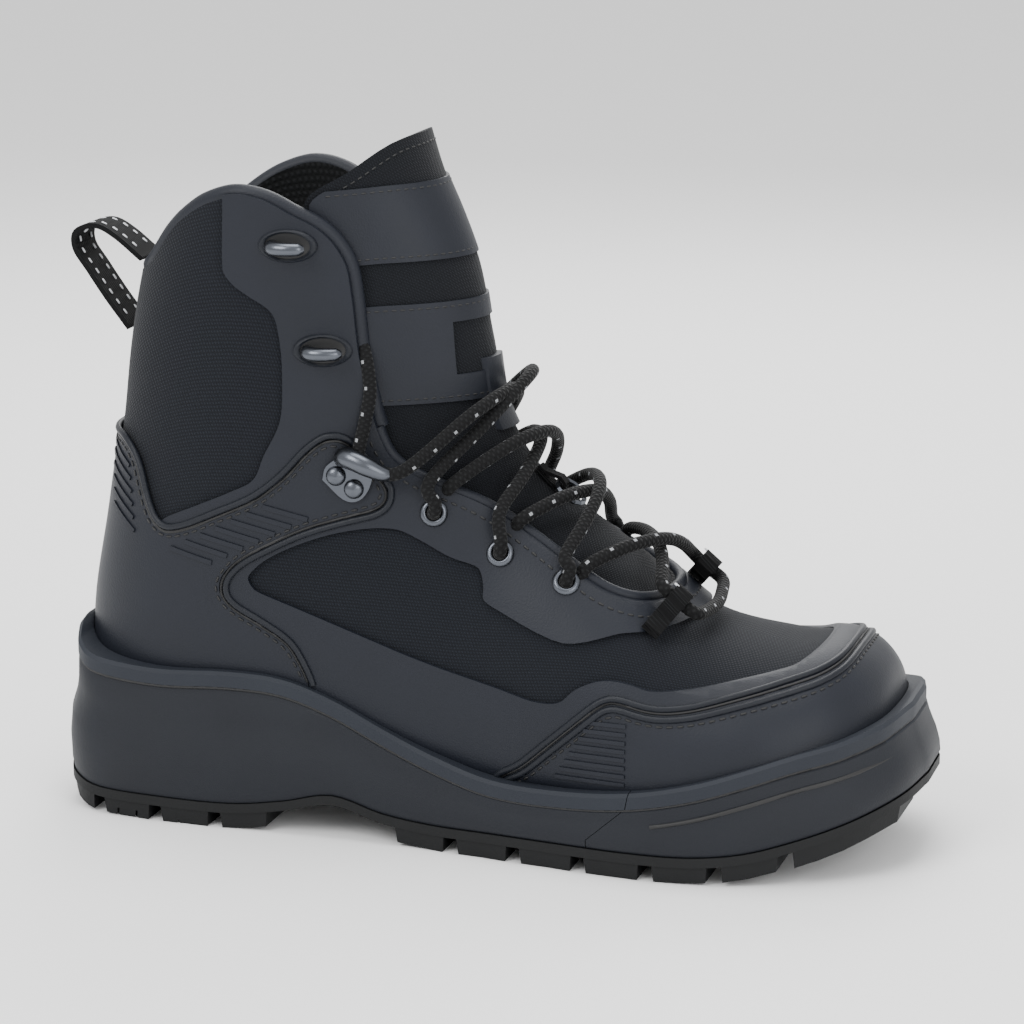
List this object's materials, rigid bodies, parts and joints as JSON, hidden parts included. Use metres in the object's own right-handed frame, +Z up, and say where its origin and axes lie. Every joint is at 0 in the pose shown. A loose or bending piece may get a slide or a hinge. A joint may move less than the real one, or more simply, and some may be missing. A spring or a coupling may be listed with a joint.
{
  "type": "wading boot",
  "caption": "Lace-up wading boot for the right foot: high padded collar, woven upper with grained overlays, metal hooks, thick rubber cup sole with a lugged tread.",
  "frame": {"origin": "on the floor, under the middle of the heel", "axes": "+X to the toe, +Y to the inner side of the foot, +Z up"},
  "size_m": [0.3223, 0.119, 0.2522],
  "materials": {
    "rubber": "matte",
    "tread_rubber": "matte",
    "textile": "woven, matte",
    "synthetic_leather": "matte, finely grained",
    "foam": "matte",
    "webbing": "woven, matte",
    "cord": "braided, with pale flecks",
    "metal": "dark, satin"
  },
  "bodies": {
    "root": {"outsole": "tread_rubber", "midsole": "rubber", "toe_bumper": "rubber", "insole": "foam", "upper": "textile", "side_overlay": "synthetic_leather", "heel_counter": "synthetic_leather", "toe_cap": "synthetic_leather", "tongue": "textile", "pull_loop": "webbing", "lace_crossings": "cord", "lace_end_outer": "cord", "lace_end_inner": "cord", "lace_keeper_outer": "webbing", "lace_keeper_inner": "webbing", "ring_tab": "webbing", "tongue_ring": "metal", "eyelet_outer_1": "metal", "eyelet_outer_2": "metal", "eyelet_outer_3": "metal", "lock_hook_outer": "metal", "speed_hook_outer_1": "metal", "speed_hook_outer_2": "metal", "eyelet_inner_1": "metal", "eyelet_inner_2": "metal", "eyelet_inner_3": "metal", "lock_hook_inner": "metal", "speed_hook_inner_1": "metal", "speed_hook_inner_2": "metal"}
  },
  "joints": []
}
